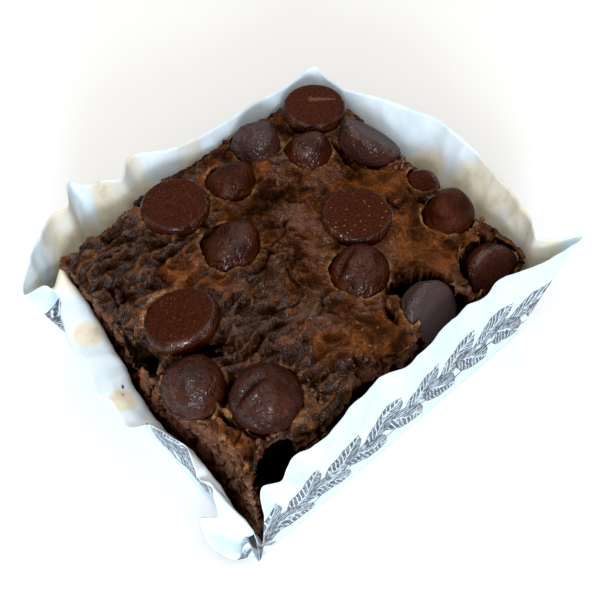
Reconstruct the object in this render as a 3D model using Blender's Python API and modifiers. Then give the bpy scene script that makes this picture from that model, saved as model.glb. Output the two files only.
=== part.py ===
"""A chocolate brownie with big chocolate chips, in its pleated paper case.

The case stands on the XY plane with the middle of its base at the origin and +Z up. Its long sides,
front and back, run along X. The brownie fills it, and the chips sit in sockets in the brownie's crust.
Sizes below are in millimetres, and MM turns them into Blender's metres.
"""

import math

import bmesh
import bpy
import numpy as np
from mathutils import Vector, noise

MM = 0.001

# The case's base, and its paper.
BASE_FRONT, BASE_BACK = -30.8, 31.3
BASE_LEFT, BASE_RIGHT = -34.2, 35.3
CORNER_ROUND = 1.4
PAPER = 0.3
FOLD_RISE = 0.2  # of the base's border, where it turns up into the wall
GAP = 0.32  # between two pieces that touch

# The brownie: its crust's usual height, and where the crust's edge runs on each side.
CRUST = 24.0
EDGE_DROP = 1.1
BOTTOM = PAPER + FOLD_RISE + GAP
SIDE_GAP = 1.0  # from the foot of the brownie's wall to the case's
CELLS_ALONG, CELLS_ACROSS = 29, 26
WALL_RINGS = (0.16, 0.42, 0.72, 1.0)  # how far down the wall each ring of points lies
EDGE_FRONT = ((-32.6, -27.0), (-28.5, -24.4), (-25.5, -24.2), (-22, -26.0), (-15, -27.2), (-10.5, -25.6),
              (-6, -24.0), (-2, -24.6), (2, -26.6), (10, -26.8), (18, -27.4), (34.4, -27.4))
EDGE_BACK = ((-30.4, 29.4), (-22, 29.0), (-17.5, 29.4), (-13, 31.6), (-8, 32.6), (0, 32.8), (10, 33.2),
             (36, 33.0))
EDGE_LEFT = ((-27, -32.6), (-20, -30.8), (-14, -31.0), (-8, -33.2), (0, -32.0), (5, -31.2), (12, -30.8),
             (29.4, -30.4))
EDGE_RIGHT = ((-27.4, 34.4), (-20, 35.0), (-16, 34.6), (-10, 34.8), (-4, 35.2), (6, 35.8), (14, 36.4),
              (25, 37.0), (33, 36.0))

# Each chip: where the middle of its flat base is, how far it is tipped over in degrees (0 stands on
# its base, 180 lies base up) and towards which bearing, its radius and its height.
CHIPS = (
    ((29.6, 25.6, 27.0), 180, 0, 6.6, 7.0),
    ((15.1, 27.3, 21.7), 8, 150, 5.3, 7.0),
    ((21.5, 18.6, 21.7), 0, 0, 4.9, 6.8),
    ((33.5, 12.0, 25.7), 140, 180, 6.9, 6.5),
    ((4.7, 22.4, 21.5), 0, 0, 5.1, 6.8),
    ((-7.6, 23.7, 26.5), 180, 0, 6.7, 7.0),
    ((-5.5, 10.2, 21.3), 10, 130, 6.0, 6.4),
    ((16.2, -0.8, 26.3), 180, 0, 6.8, 7.0),
    ((8.3, -9.8, 20.9), 0, 0, 6.1, 6.6),
    ((-22.5, 3.0, 26.5), 165, 287, 6.8, 7.0),
    ((-28.4, -7.9, 20.5), 0, 0, 5.7, 7.0),
    ((-20.8, -18.0, 21.5), 0, 0, 6.4, 7.5),
    ((12.8, -24.9, 21.2), 120, 95, 6.4, 7.0),
    ((30.4, -11.6, 21.5), 5, 60, 5.2, 8.2),
    ((32.4, -1.9, 21.6), 130, 7, 4.0, 5.5),
    ((29.0, -25.4, 19.5), 118, 75, 5.7, 7.0),
)
CHIP_STEPS = 14
# The chip's outline from tip to base, as (share of the radius, share of the height).
CHIP_PROFILE = ((0.0, 1.0), (0.30, 0.94), (0.62, 0.76), (0.87, 0.48), (0.99, 0.20), (0.93, 0.0))

# Pits where the crust has sunk or broken away: middle, half sizes, and bearing in degrees.
PITS = (
    ((28.0, -24.2, 24.0), (6.6, 5.6, 8.0), 0),
    ((13.6, -21.6, 24.5), (6.2, 5.0, 4.5), 0),
    ((13.2, -27.6, 25.0), (6.2, 6.0, 9.5), 0),
    ((-30.6, 5.2, 22.5), (1.4, 5.6, 4.2), 12),
    ((-23.6, -4.6, 23.5), (5.2, 1.5, 4.0), -25),
    ((29.6, 10.6, 24.6), (3.4, 6.0, 3.2), 10),
    ((32.2, -1.6, 25.0), (3.6, 4.4, 3.2), 0),
    ((-26.2, -27.6, 19.0), (3.6, 3.4, 8.0), 0),
)

# The case's rim, side by side round the base: (place along the side, lean outwards, height).
RIM_FRONT = ((-34.3, 0.2, 8.0), (-33.0, -0.4, 14.0), (-31.3, -1.6, 23.5), (-28.4, -0.7, 22.8),
             (-25.3, -1.9, 25.0), (-21.8, -1.2, 25.0), (-18.0, -1.2, 24.5), (-13.5, -1.8, 25.5),
             (-8.7, -2.4, 25.5), (-3.8, -2.4, 25.5), (0.5, -1.6, 24.4), (4.5, -1.7, 25.0),
             (8.5, -2.2, 25.5), (12.5, -2.4, 25.2), (16.8, -2.7, 25.0), (21.0, -2.3, 24.3),
             (24.5, -2.5, 25.5), (29.3, -1.7, 24.6), (34.0, -0.4, 24.3))
RIM_RIGHT = ((-26.8, 1.6, 25.4), (-23.6, 3.5, 26.0), (-19.9, 5.0, 26.0), (-16.4, 6.2, 26.0),
             (-12.9, 7.3, 26.0), (-7.8, 8.8, 26.0), (-4.0, 9.6, 26.0), (0.0, 10.1, 26.0),
             (5.9, 10.6, 26.0), (10.0, 9.4, 26.0), (14.2, 7.8, 26.0), (18.4, 6.3, 26.0),
             (22.2, 4.2, 26.0), (26.0, 2.6, 26.0), (29.9, 1.8, 26.2))
RIM_BACK = ((32.0, 2.5, 26.4), (27.4, 2.7, 26.2), (22.4, 3.1, 26.0), (17.4, 3.2, 26.0), (13.8, 3.0, 26.0),
            (10.3, 3.0, 26.0), (6.7, 3.1, 26.0), (3.4, 3.6, 26.0), (0.4, 4.3, 26.0), (-3.1, 6.2, 26.0),
            (-5.6, 8.0, 26.0), (-7.8, 7.6, 26.0), (-11.4, 4.4, 26.0), (-14.6, 6.4, 26.0),
            (-17.6, 7.6, 26.0), (-19.2, 9.8, 26.4), (-20.9, 8.2, 27.0), (-22.6, 5.4, 26.0),
            (-26.4, 5.2, 26.0), (-30.4, 3.0, 25.5))
RIM_LEFT = ((24.8, 0.2, 20.0), (21.6, 2.0, 19.0), (18.4, 3.2, 19.2), (15.2, 4.1, 19.0), (12.0, 4.3, 19.2),
            (9.0, 4.9, 19.0), (6.4, 5.4, 18.8), (4.2, 6.4, 18.5), (1.3, 5.0, 18.0), (-1.2, 5.4, 17.8),
            (-3.8, 5.7, 17.5), (-5.8, 2.4, 17.0), (-8.4, 1.2, 16.8), (-10.8, 0.6, 16.5), (-13.5, 0.3, 16.6),
            (-16.3, 1.3, 16.0), (-18.5, 1.9, 15.5), (-20.4, 1.0, 15.5), (-22.5, 2.1, 14.0))
# The left wall follows the brownie up to a knee, and flares from there: (place, lean outwards, height).
KNEE_LEFT = ((-28, -0.3, 8.0), (-23, -0.2, 12.0), (-18, -0.3, 14.5), (-12, -0.5, 14.5), (-8, 0.3, 14.5),
             (-3, 1.0, 15.0), (5, 0.2, 16.5), (12, -1.6, 18.0), (20, -2.6, 20.0), (28, -3.0, 22.0))
# At the corners the spare paper stands out in folds: (x, y, z) of their rims.
CORNER_RIGHT = ((38.6, -31.4, 24.3), (44.2, -31.5, 24.2), (39.0, -28.6, 24.6))
CORNER_BACK = ((37.4, 34.0, 26.8),)
CORNER_LEFT = ((-34.4, 31.8, 24.6), (-38.8, 28.0, 21.5), (-35.0, 28.2, 21.0))
CORNER_FRONT = ((-37.4, -23.8, 10.0), (-39.3, -20.9, 6.4), (-40.2, -24.4, 5.4), (-39.5, -27.4, 4.0),
                (-37.8, -29.2, 2.4), (-35.2, -28.6, 5.6), (-35.4, -31.6, 2.6), (-33.6, -29.2, 8.6))
KNEE_LEVEL = 0.75  # how far up a wall without a knee of its own the ring below its rim lies
FLOOR_RINGS = (0.82, 0.91)  # shares of the base's outline where its flat middle and its border start

CRUST_BROWN = (0.050, 0.021, 0.010, 1.0)
CHIP_BROWN = (0.030, 0.011, 0.007, 1.0)
PAPER_WHITE = (0.78, 0.82, 0.86, 1.0)


def clear_scene():
    for item in list(bpy.data.objects):
        bpy.data.objects.remove(item, do_unlink=True)


def new_collection(name):
    group = bpy.data.collections.new(name)
    bpy.context.scene.collection.children.link(group)
    return group


def new_material(name, color, roughness):
    material = bpy.data.materials.new(name)
    material.use_nodes = True
    shader = material.node_tree.nodes["Principled BSDF"]
    shader.inputs["Base Color"].default_value = color
    shader.inputs["Roughness"].default_value = roughness
    shader.inputs["Metallic"].default_value = 0.0
    return material


def new_object(name, mesh, group, material=None):
    item = bpy.data.objects.new(name, mesh)
    group.objects.link(item)
    if material:
        mesh.materials.append(material)
    return item


def finished_mesh(name, shape):
    mesh = bpy.data.meshes.new(name)
    shape.to_mesh(mesh)
    shape.free()
    return mesh


def make_cutter(item):
    item.hide_render = True
    item.display_type = "WIRE"


def join_rings(shape, lower, upper):
    """A band of faces between two rings that run counterclockwise, facing outwards."""
    for k in range(len(lower)):
        after = (k + 1) % len(lower)
        shape.faces.new((lower[k], lower[after], upper[after], upper[k]))


def along(curve, place, column=1):
    """The value at place of a line drawn through points whose first number is the place."""
    return float(np.interp(place, [point[0] for point in curve], [point[column] for point in curve]))


def ease(share):
    share = min(max(share, 0.0), 1.0)
    return share * share * (3.0 - 2.0 * share)


# The brownie.


def crust_place(u, v):
    """A point of the crust from above: its four edges, blended over it (a Coons patch)."""
    left, right = EDGE_FRONT[0][0], EDGE_FRONT[-1][0]
    back_left, back_right = EDGE_BACK[0][0], EDGE_BACK[-1][0]
    front, back = EDGE_LEFT[0][0], EDGE_LEFT[-1][0]
    right_front, right_back = EDGE_RIGHT[0][0], EDGE_RIGHT[-1][0]

    def on_front(share):
        x = left + (right - left) * share
        return Vector((x, along(EDGE_FRONT, x)))

    def on_back(share):
        x = back_left + (back_right - back_left) * share
        return Vector((x, along(EDGE_BACK, x)))

    def on_left(share):
        y = front + (back - front) * share
        return Vector((along(EDGE_LEFT, y), y))

    def on_right(share):
        y = right_front + (right_back - right_front) * share
        return Vector((along(EDGE_RIGHT, y), y))

    corners = on_front(0).lerp(on_front(1), u).lerp(on_back(0).lerp(on_back(1), u), v)
    return on_front(u).lerp(on_back(u), v) + on_left(v).lerp(on_right(v), u) - corners


def crust_height(x, y):
    """The crust is nearly flat, sags by the left edge and at the front corner, and is gently uneven."""
    slump = 4.6 * ease((-25.0 - x) / 9.0) * ease((13.0 - y) / 6.0) * ease((y + 27.0) / 6.0)
    corner = 2.6 * math.exp(-((x + 33.0) ** 2 + (y + 27.0) ** 2) / 30.0)
    uneven = 0.45 * noise.noise(Vector((x, y, 0.0)) * 0.13) + 0.35 * noise.noise(Vector((x, y, 7.0)) * 0.31)
    return CRUST - slump - corner + uneven


def wall_place(top, u, v, down):
    """A point of the brownie's wall, this share of the way down from the crust's edge at top to its foot."""
    foot = Vector((
        BASE_LEFT + SIDE_GAP + (BASE_RIGHT - BASE_LEFT - 2 * SIDE_GAP) * u,
        BASE_FRONT + SIDE_GAP + (BASE_BACK - BASE_FRONT - 2 * SIDE_GAP) * v,
    ))
    place = Vector((top.x, top.y)).lerp(foot, down)
    rough = 0.35 * noise.noise(Vector((place.x, place.y, 9.0 * down)) * 0.4) * (1.0 - down)
    place -= place.normalized() * (0.25 + rough)
    if u == 0:
        place.x -= 2.0 * math.exp(-((place.y - 1.0) / 6.0) ** 2) * math.sin(math.pi * down) ** 2
    return Vector((place.x, place.y, top.z + (BOTTOM - top.z) * down))


def border_cells():
    """The (column, row) of each grid point on the border, round it counterclockwise."""
    return (
        [(i, 0) for i in range(CELLS_ALONG)]
        + [(CELLS_ALONG, j) for j in range(CELLS_ACROSS)]
        + [(i, CELLS_ACROSS) for i in range(CELLS_ALONG, 0, -1)]
        + [(0, j) for j in range(CELLS_ACROSS, 0, -1)]
    )


def make_brownie(group, material):
    shape = bmesh.new()
    border = border_cells()
    grid = {}
    for i in range(CELLS_ALONG + 1):
        for j in range(CELLS_ACROSS + 1):
            place = crust_place(i / CELLS_ALONG, j / CELLS_ACROSS)
            height = crust_height(place.x, place.y) - (EDGE_DROP if (i, j) in border else 0.0)
            grid[i, j] = shape.verts.new(Vector((place.x, place.y, height)) * MM)
    for i in range(CELLS_ALONG):
        for j in range(CELLS_ACROSS):
            shape.faces.new((grid[i, j], grid[i + 1, j], grid[i + 1, j + 1], grid[i, j + 1]))

    upper = [grid[cell] for cell in border]
    for down in WALL_RINGS:
        lower = []
        for i, j in border:
            place = wall_place(grid[i, j].co / MM, i / CELLS_ALONG, j / CELLS_ACROSS, down)
            lower.append(shape.verts.new(place * MM))
        join_rings(shape, lower, upper)
        upper = lower
    shape.faces.new(upper[::-1])
    return new_object("brownie", finished_mesh("brownie", shape), group, material)


def cut(item, cutter):
    modifier = item.modifiers.new(cutter.name, "BOOLEAN")
    modifier.operation = "DIFFERENCE"
    modifier.solver = "EXACT"
    modifier.object = cutter


def make_pit(number, middle, half_sizes, bearing, group):
    shape = bmesh.new()
    bmesh.ops.create_uvsphere(shape, u_segments=10, v_segments=6, radius=MM)
    name = f"pit_{number:02d}"
    pit = new_object(name, finished_mesh(name, shape), group)
    pit.location = Vector(middle) * MM
    pit.rotation_euler = (0.0, 0.0, math.radians(bearing))
    pit.scale = half_sizes
    make_cutter(pit)
    return pit


# The chips.


def turned(name, profile, group, material=None):
    """A solid turned about Z from (radius, height) points that run from its top to its bottom."""
    mesh = bpy.data.meshes.new(name)
    points = [(radius * MM, 0.0, height * MM) for radius, height in profile]
    mesh.from_pydata(points, [(k, k + 1) for k in range(len(points) - 1)], [])
    item = new_object(name, mesh, group, material)
    screw = item.modifiers.new("turn", "SCREW")
    screw.steps = screw.render_steps = CHIP_STEPS
    screw.use_merge_vertices = True
    screw.merge_threshold = 1e-6
    return item


def chip_profile(radius, height, room):
    """The chip's outline, or that of its socket, which leaves this much room round it."""
    outline = [(share * radius + room, rise * height) for share, rise in CHIP_PROFILE]
    outline[0] = (0.0, height + room)
    outline[-1] = (outline[-1][0], -room)
    return outline + [(0.0, -room)]


def make_chip(number, middle, tipped, bearing, radius, height, group, material, sockets):
    """A chip, and the cutter of its socket in the crust, which is returned."""
    chip = turned(f"chip_{number:02d}", chip_profile(radius, height, 0.0), group, material)
    socket = turned(f"socket_{number:02d}", chip_profile(radius, height, GAP), sockets)
    for item in (chip, socket):
        item.location = Vector(middle) * MM
        item.rotation_euler = (0.0, math.radians(tipped), math.radians(bearing))
    make_cutter(socket)
    return socket


# The paper case.


def side_folds(rim, start, end, foot_at, rim_at, knee_at):
    """(foot, knee, rim) points of one wall's folds, their feet spread evenly from start to end."""
    folds = []
    for k, (place, lean, height) in enumerate(rim):
        foot = foot_at(start + (end - start) * (k + 0.5) / len(rim))
        top = rim_at(place, lean, height)
        folds.append((foot, knee_at(foot, top), top))
    return folds


def corner_folds(rims, corner_x, corner_y, bearing):
    """(foot, knee, rim) points of the folds at a corner, their feet on its round from bearing on."""
    core_x = corner_x - math.copysign(CORNER_ROUND, corner_x)
    core_y = corner_y - math.copysign(CORNER_ROUND, corner_y)
    folds = []
    for k, rim in enumerate(rims):
        angle = math.radians(bearing + 90.0 * (k + 0.5) / len(rims))
        foot = Vector((
            core_x + CORNER_ROUND * math.cos(angle),
            core_y + CORNER_ROUND * math.sin(angle),
            PAPER + FOLD_RISE,
        ))
        folds.append((foot, straight_knee(foot, Vector(rim)), Vector(rim)))
    return folds


def straight_knee(foot, top):
    """A point of a wall that rises straight to its rim, or bows a little where it leans far out."""
    lean = Vector((top.x - foot.x, top.y - foot.y, 0.0))
    bow = 0.1 * max(lean.length - 3.0, 0.0)
    return foot.lerp(top, KNEE_LEVEL) - lean.normalized() * bow


def left_knee(foot, _):
    return Vector((BASE_LEFT - along(KNEE_LEFT, foot.y), foot.y, along(KNEE_LEFT, foot.y, 2)))


def case_folds():
    """The folds of the whole wall, counterclockwise from the left end of the front side."""
    lift = PAPER + FOLD_RISE
    front, back = BASE_FRONT + CORNER_ROUND, BASE_BACK - CORNER_ROUND
    left, right = BASE_LEFT + CORNER_ROUND, BASE_RIGHT - CORNER_ROUND
    return (
        side_folds(RIM_FRONT, left, right, lambda x: Vector((x, BASE_FRONT, lift)),
                   lambda x, lean, z: Vector((x, BASE_FRONT - lean, z)), straight_knee)
        + corner_folds(CORNER_RIGHT, BASE_RIGHT, BASE_FRONT, -90)
        + side_folds(RIM_RIGHT, front, back, lambda y: Vector((BASE_RIGHT, y, lift)),
                     lambda y, lean, z: Vector((BASE_RIGHT + lean, y, z)), straight_knee)
        + corner_folds(CORNER_BACK, BASE_RIGHT, BASE_BACK, 0)
        + side_folds(RIM_BACK, right, left, lambda x: Vector((x, BASE_BACK, lift)),
                     lambda x, lean, z: Vector((x, BASE_BACK + lean, z)), straight_knee)
        + corner_folds(CORNER_LEFT, BASE_LEFT, BASE_BACK, 90)
        + side_folds(RIM_LEFT, back, front, lambda y: Vector((BASE_LEFT, y, lift)),
                     lambda y, lean, z: Vector((BASE_LEFT - lean, y, z)), left_knee)
        + corner_folds(CORNER_FRONT, BASE_LEFT, BASE_FRONT, 180)
    )


def make_case(group, material):
    """The case's inner surface, which the Solidify modifier then thickens outwards."""
    feet, knees, rims = zip(*case_folds())
    shape = bmesh.new()
    levels = [[Vector((foot.x * share, foot.y * share, PAPER)) for foot in feet] for share in FLOOR_RINGS]
    levels += [feet, [foot.lerp(knee, 0.5) for foot, knee in zip(feet, knees)], knees, rims]
    rings = [[shape.verts.new(point * MM) for point in level] for level in levels]
    shape.faces.new(rings[0][::-1])
    for lower, upper in zip(rings, rings[1:]):
        join_rings(shape, lower, upper)

    case = new_object("paper_case", finished_mesh("paper_case", shape), group, material)
    thickness = case.modifiers.new("paper", "SOLIDIFY")
    thickness.thickness = PAPER * MM
    thickness.offset = 1.0


def main():
    clear_scene()
    group = new_collection("chocolate_brownie")
    cutters = new_collection("cutters")
    chocolate = new_material("chocolate", CHIP_BROWN, 0.38)

    brownie = make_brownie(group, new_material("crust", CRUST_BROWN, 0.45))
    for number, (middle, half_sizes, bearing) in enumerate(PITS, 1):
        cut(brownie, make_pit(number, middle, half_sizes, bearing, cutters))
    for number, (middle, tipped, bearing, radius, height) in enumerate(CHIPS, 1):
        cut(brownie, make_chip(number, middle, tipped, bearing, radius, height, group, chocolate, cutters))
    make_case(group, new_material("paper", PAPER_WHITE, 0.8))


main()
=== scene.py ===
# %% [markdown]
# # A chocolate brownie in its paper case
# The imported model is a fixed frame: it says where the brownie, its sixteen chips and the paper case are, and
# how big they are. This script dresses that frame. It makes a fine crust and crumb, melted chips, creased
# paper and a few crumbs, and each of them takes its place from the frame's solids.

# %% The frame
import math

import bmesh
import bpy
import numpy as np
from mathutils import Matrix, Vector
from mathutils.bvhtree import BVHTree


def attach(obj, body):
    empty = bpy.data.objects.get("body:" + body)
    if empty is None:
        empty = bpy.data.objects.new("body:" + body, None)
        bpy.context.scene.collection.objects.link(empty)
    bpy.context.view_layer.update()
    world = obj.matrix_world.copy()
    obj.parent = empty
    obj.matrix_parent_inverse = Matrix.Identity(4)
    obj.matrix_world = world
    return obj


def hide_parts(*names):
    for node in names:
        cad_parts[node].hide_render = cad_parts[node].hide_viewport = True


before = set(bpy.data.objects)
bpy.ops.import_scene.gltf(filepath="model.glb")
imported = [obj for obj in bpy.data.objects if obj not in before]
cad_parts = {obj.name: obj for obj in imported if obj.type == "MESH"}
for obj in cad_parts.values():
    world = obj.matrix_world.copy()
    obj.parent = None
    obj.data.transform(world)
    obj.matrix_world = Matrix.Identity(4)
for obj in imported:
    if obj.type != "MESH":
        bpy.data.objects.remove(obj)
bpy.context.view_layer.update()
MM = 0.001
CHIPS = sorted(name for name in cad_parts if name.startswith("chip"))

# %% [markdown]
# ## Camera, light and floor
# The brownie is seen from above one corner, close up, so its near corner looks larger than its far one. The
# camera's place is worked out from how high it is, how steeply it looks down and which way it faces. Light
# comes from a window in front, cool and wide, and from a pale room all round. Wide lights suit food, because
# a small light would make hard, wet-looking spots on the chocolate.

# %% Camera
CAMERA_AT = Vector((-62.1, -71.9, 148.0)) * MM
LOOK_DOWN = math.radians(55.0)
LOOK_BEARING = math.radians(42.0)  # from +Y towards +X
LENS = 51.6

camera_data = bpy.data.cameras.new("camera")
camera_data.lens = LENS
camera_data.clip_start = 0.01
camera = bpy.data.objects.new("camera", camera_data)
bpy.context.scene.collection.objects.link(camera)
camera.location = CAMERA_AT
camera.rotation_euler = (math.pi / 2 - LOOK_DOWN, 0.0, -LOOK_BEARING)
bpy.context.scene.camera = camera
print("camera", [round(value / MM) for value in CAMERA_AT], "mm")

# %% Lights


def area_light(name, place, size, energy, color):
    """A square light at place, in metres, turned to face the brownie."""
    data = bpy.data.lights.new(name, "AREA")
    data.size = size
    data.energy = energy
    data.color = color
    light = bpy.data.objects.new(name, data)
    bpy.context.scene.collection.objects.link(light)
    light.location = place
    light.rotation_euler = (Vector((0.0, 0.0, 0.012)) - light.location).to_track_quat("-Z", "Y").to_euler()
    return light


area_light("window", (-0.38, -0.40, 0.21), 0.46, 1.7, (0.84, 0.92, 1.0))
area_light("pane", (-0.33, -0.41, 0.22), 0.12, 1.7, (0.74, 0.86, 1.0))
area_light("ceiling", (-0.10, -0.05, 0.72), 1.50, 7.2, (1.0, 0.97, 0.92))
area_light("back", (0.40, 0.44, 0.24), 0.70, 1.2, (1.0, 0.95, 0.88))

world = bpy.data.worlds.new("room")
world.use_nodes = True
world.node_tree.nodes["Background"].inputs["Color"].default_value = (1.0, 0.99, 0.98, 1.0)
world.node_tree.nodes["Background"].inputs["Strength"].default_value = 0.28
bpy.context.scene.world = world
view = bpy.context.scene.view_settings
view.view_transform = "Standard"
view.use_curve_mapping = True
view.curve_mapping.black_level = (0.002, 0.002, 0.002)

# %% Floor


def make_floor():
    material = bpy.data.materials.new("floor")
    material.use_nodes = True
    shader = material.node_tree.nodes["Principled BSDF"]
    shader.inputs["Base Color"].default_value = (0.92, 0.92, 0.92, 1.0)
    shader.inputs["Roughness"].default_value = 0.9
    mesh = bpy.data.meshes.new("floor")
    reach = 1.5
    mesh.from_pydata([(-reach, -reach, 0), (reach, -reach, 0), (reach, reach, 0), (-reach, reach, 0)], [],
                     [(0, 1, 2, 3)])
    mesh.materials.append(material)
    floor = bpy.data.objects.new("floor", mesh)
    bpy.context.scene.collection.objects.link(floor)


make_floor()

# %% [markdown]
# ## Node sums as Python
# Materials and Geometry Nodes are both made of nodes that add, multiply and mix. One small class wraps a
# socket, so that such a sum is written as a Python expression, and one method makes any other node.

# %% Net and Wire


class Wire:
    """A node's output socket, for use in expressions."""

    def __init__(self, net, socket):
        self.net, self.socket = net, socket

    def __add__(self, other):
        return self.net.math("ADD", self, other)

    def __sub__(self, other):
        return self.net.math("SUBTRACT", self, other)

    def __rsub__(self, other):
        return self.net.math("SUBTRACT", other, self)

    def __mul__(self, other):
        return self.net.math("MULTIPLY", self, other)

    def __truediv__(self, other):
        return self.net.math("DIVIDE", self, other)

    def __pow__(self, other):
        return self.net.math("POWER", self, other)

    __radd__, __rmul__ = __add__, __mul__


class Net:
    """A node tree, and short ways to add nodes to it."""

    def __init__(self, tree):
        self.tree = tree

    def node(self, kind, settings=None, inputs=None):
        """A node of this type, with its settings made first and then its sockets, by name or by number."""
        item = self.tree.nodes.new(kind)
        for name, value in (settings or {}).items():
            if name == "stops":
                self.set_stops(item.color_ramp, value)
            else:
                setattr(item, name, value)
        for name, value in (inputs or {}).items():
            if isinstance(value, Wire):
                self.tree.links.new(value.socket, item.inputs[name])
            else:
                item.inputs[name].default_value = value
        return item

    @staticmethod
    def set_stops(ramp, stops):
        while len(ramp.elements) < len(stops):
            ramp.elements.new(0.5)
        for element, (place, color) in zip(ramp.elements, stops):
            element.position = place
            element.color = (*color, 1.0)

    def out(self, kind, settings=None, inputs=None, output=0):
        return Wire(self, self.node(kind, settings, inputs).outputs[output])

    def math(self, operation, *values):
        """A sum of numbers or, where a value is a vector or a colour, of vectors."""
        is_vector = [isinstance(value, tuple) or isinstance(value, Wire) and value.socket.type in ("VECTOR", "RGBA")
                     for value in values]
        if not any(is_vector):
            return self.out("ShaderNodeMath", {"operation": operation}, dict(enumerate(values)))
        if operation == "MULTIPLY" and not all(is_vector):
            vector, scale = values if is_vector[0] else values[::-1]
            return self.out("ShaderNodeVectorMath", {"operation": "SCALE"}, {0: vector, "Scale": scale})
        return self.out("ShaderNodeVectorMath", {"operation": operation}, dict(enumerate(values)))

    def step(self, value, low, high):
        """0 where the value is under low, 1 where it is over high, and a smooth rise between."""
        return self.out("ShaderNodeMapRange", {"interpolation_type": "SMOOTHSTEP"},
                        {"Value": value, "From Min": low, "From Max": high})

    def mix(self, share, first, second):
        """Two colours mixed."""
        first, second = [(*color, 1.0) if isinstance(color, tuple) else color for color in (first, second)]
        return self.out("ShaderNodeMix", {"data_type": "RGBA"}, {0: share, 6: first, 7: second}, 2)

    def noise(self, place, scale, detail=3.0, roughness=0.5, distortion=0.0):
        return self.out("ShaderNodeTexNoise", {}, {"Vector": place, "Scale": scale, "Detail": detail,
                                                   "Roughness": roughness, "Distortion": distortion})

    def wetted(self, shader, share, color, normal, roughness):
        """Mixes a glossy shader of the same colour over the given one, by this share."""
        glossy = self.node("ShaderNodeBsdfPrincipled", {}, {"Base Color": color, "Normal": normal})
        glossy.inputs["Roughness"].default_value = roughness
        glossy.inputs["Specular IOR Level"].default_value = 0.5
        mixed = self.node("ShaderNodeMixShader", {}, {0: share, 1: Wire(self, shader.outputs[0]),
                                                      2: Wire(self, glossy.outputs[0])})
        self.tree.links.new(mixed.outputs[0], self.tree.nodes["Material Output"].inputs["Surface"])

    def attribute(self, name, output=2):
        """A value that the mesh holds at each point."""
        return self.out("ShaderNodeAttribute", {"attribute_name": name}, {}, output)


def new_material(name):
    """A material's net, with its Principled shader and its place on the object in metres."""
    material = bpy.data.materials.new(name)
    material.use_nodes = True
    net = Net(material.node_tree)
    shader = material.node_tree.nodes["Principled BSDF"]
    place = net.out("ShaderNodeTexCoord", {}, {}, "Object")
    return material, net, shader, place


print("expressions ready")

# %% [markdown]
# ## Noise on points
# Crust and crumb get their relief by moving points of a fine mesh, so noise is needed in Python too. Perlin
# noise gives soft lumps. Its size without a sign gives puffy wrinkles with sharp creases between them, as on
# a baked crust. The distance to scattered points gives the round holes of a crumb.

# %% Perlin noise and scattered cells
RANDOM = np.random.default_rng(11)
SHUFFLE = np.tile(RANDOM.permutation(256), 3)
SLOPES = RANDOM.normal(size=(256, 3))
SLOPES /= np.linalg.norm(SLOPES, axis=1)[:, None]
JITTER = RANDOM.random((256, 3))
CORNERS = np.array([(i, j, k) for i in (0, 1) for j in (0, 1) for k in (0, 1)])


def picks(cell):
    """A repeatable random number from 0 to 255 for each cell of a grid."""
    cell = cell & 255
    return SHUFFLE[SHUFFLE[SHUFFLE[cell[:, 0]] + cell[:, 1]] + cell[:, 2]]


def noise(points, size, seed=0):
    """Soft lumps this far apart, in mm, from about -1 to 1."""
    place = points / size + 13.7 * seed
    cell = np.floor(place).astype(int)
    part = place - cell
    fade = part ** 3 * (part * (part * 6 - 15) + 10)
    total = np.zeros(len(points))
    for corner in CORNERS:
        share = np.where(corner, fade, 1 - fade).prod(axis=1)
        total += share * ((part - corner) * SLOPES[picks(cell + corner)]).sum(axis=1)
    return 1.7 * total


def layered(points, size, layers=3, seed=0):
    """Noise with finer noise on it."""
    return sum(noise(points, size * 0.5 ** k, seed + k) * 0.5 ** k for k in range(layers))


def puffy(points, size, seed=0):
    """Rounded wrinkles from 0 in their creases to about 1."""
    return np.abs(noise(points, size, seed)) ** 0.7


def nearest_cell(points, size, seed=0):
    """The distance to the nearest of points scattered this far apart, as a share of that size."""
    place = points / size + 7.9 * seed
    cell = np.floor(place).astype(int)
    best = np.full(len(points), 9.0)
    for i in (-1, 0, 1):
        for j in (-1, 0, 1):
            for k in (-1, 0, 1):
                other = cell + (i, j, k)
                gap = other + JITTER[picks(other)] - place
                best = np.minimum(best, (gap ** 2).sum(axis=1))
    return np.sqrt(best)


def step(value, low, high):
    """0 at low, 1 at high, and a smooth way between."""
    share = np.clip((value - low) / (high - low), 0.0, 1.0)
    return share * share * (3 - 2 * share)


print("noise runs from", noise(RANDOM.random((999, 3)) * 50, 3.0).round(2).min(), "up")

# %% [markdown]
# ## Meshes from arrays
# Every piece ends as a plain mesh at the origin, with its place in its points, smooth faces, its own
# attributes for the material to read, and one body of the frame to ride on.

# %% Mesh helpers


def merged_mesh(node):
    """A copy of a frame solid's mesh, with its loose triangles joined."""
    shape = bmesh.new()
    shape.from_mesh(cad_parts[node].data)
    bmesh.ops.remove_doubles(shape, verts=shape.verts, dist=0.005 * MM)
    mesh = bpy.data.meshes.new(node + "_merged")
    shape.to_mesh(mesh)
    shape.free()
    return mesh


def points_of(mesh, what="vertices", field="co"):
    items = getattr(mesh, what)
    values = np.empty(len(items) * 3, np.float32)
    items.foreach_get(field, values)
    return values.reshape(-1, 3).astype(float)


def normals_of(mesh):
    values = np.empty(len(mesh.vertices) * 3, np.float32)
    mesh.vertex_normals.foreach_get("vector", values)
    return values.reshape(-1, 3).astype(float)


def set_points(mesh, points):
    mesh.vertices.foreach_set("co", points.astype(np.float32).ravel())
    mesh.update()


def add_values(mesh, name, values):
    """Stores one number for each point under this name."""
    attribute = mesh.attributes.new(name, "FLOAT", "POINT")
    attribute.data.foreach_set("value", np.asarray(values, np.float32))


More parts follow.
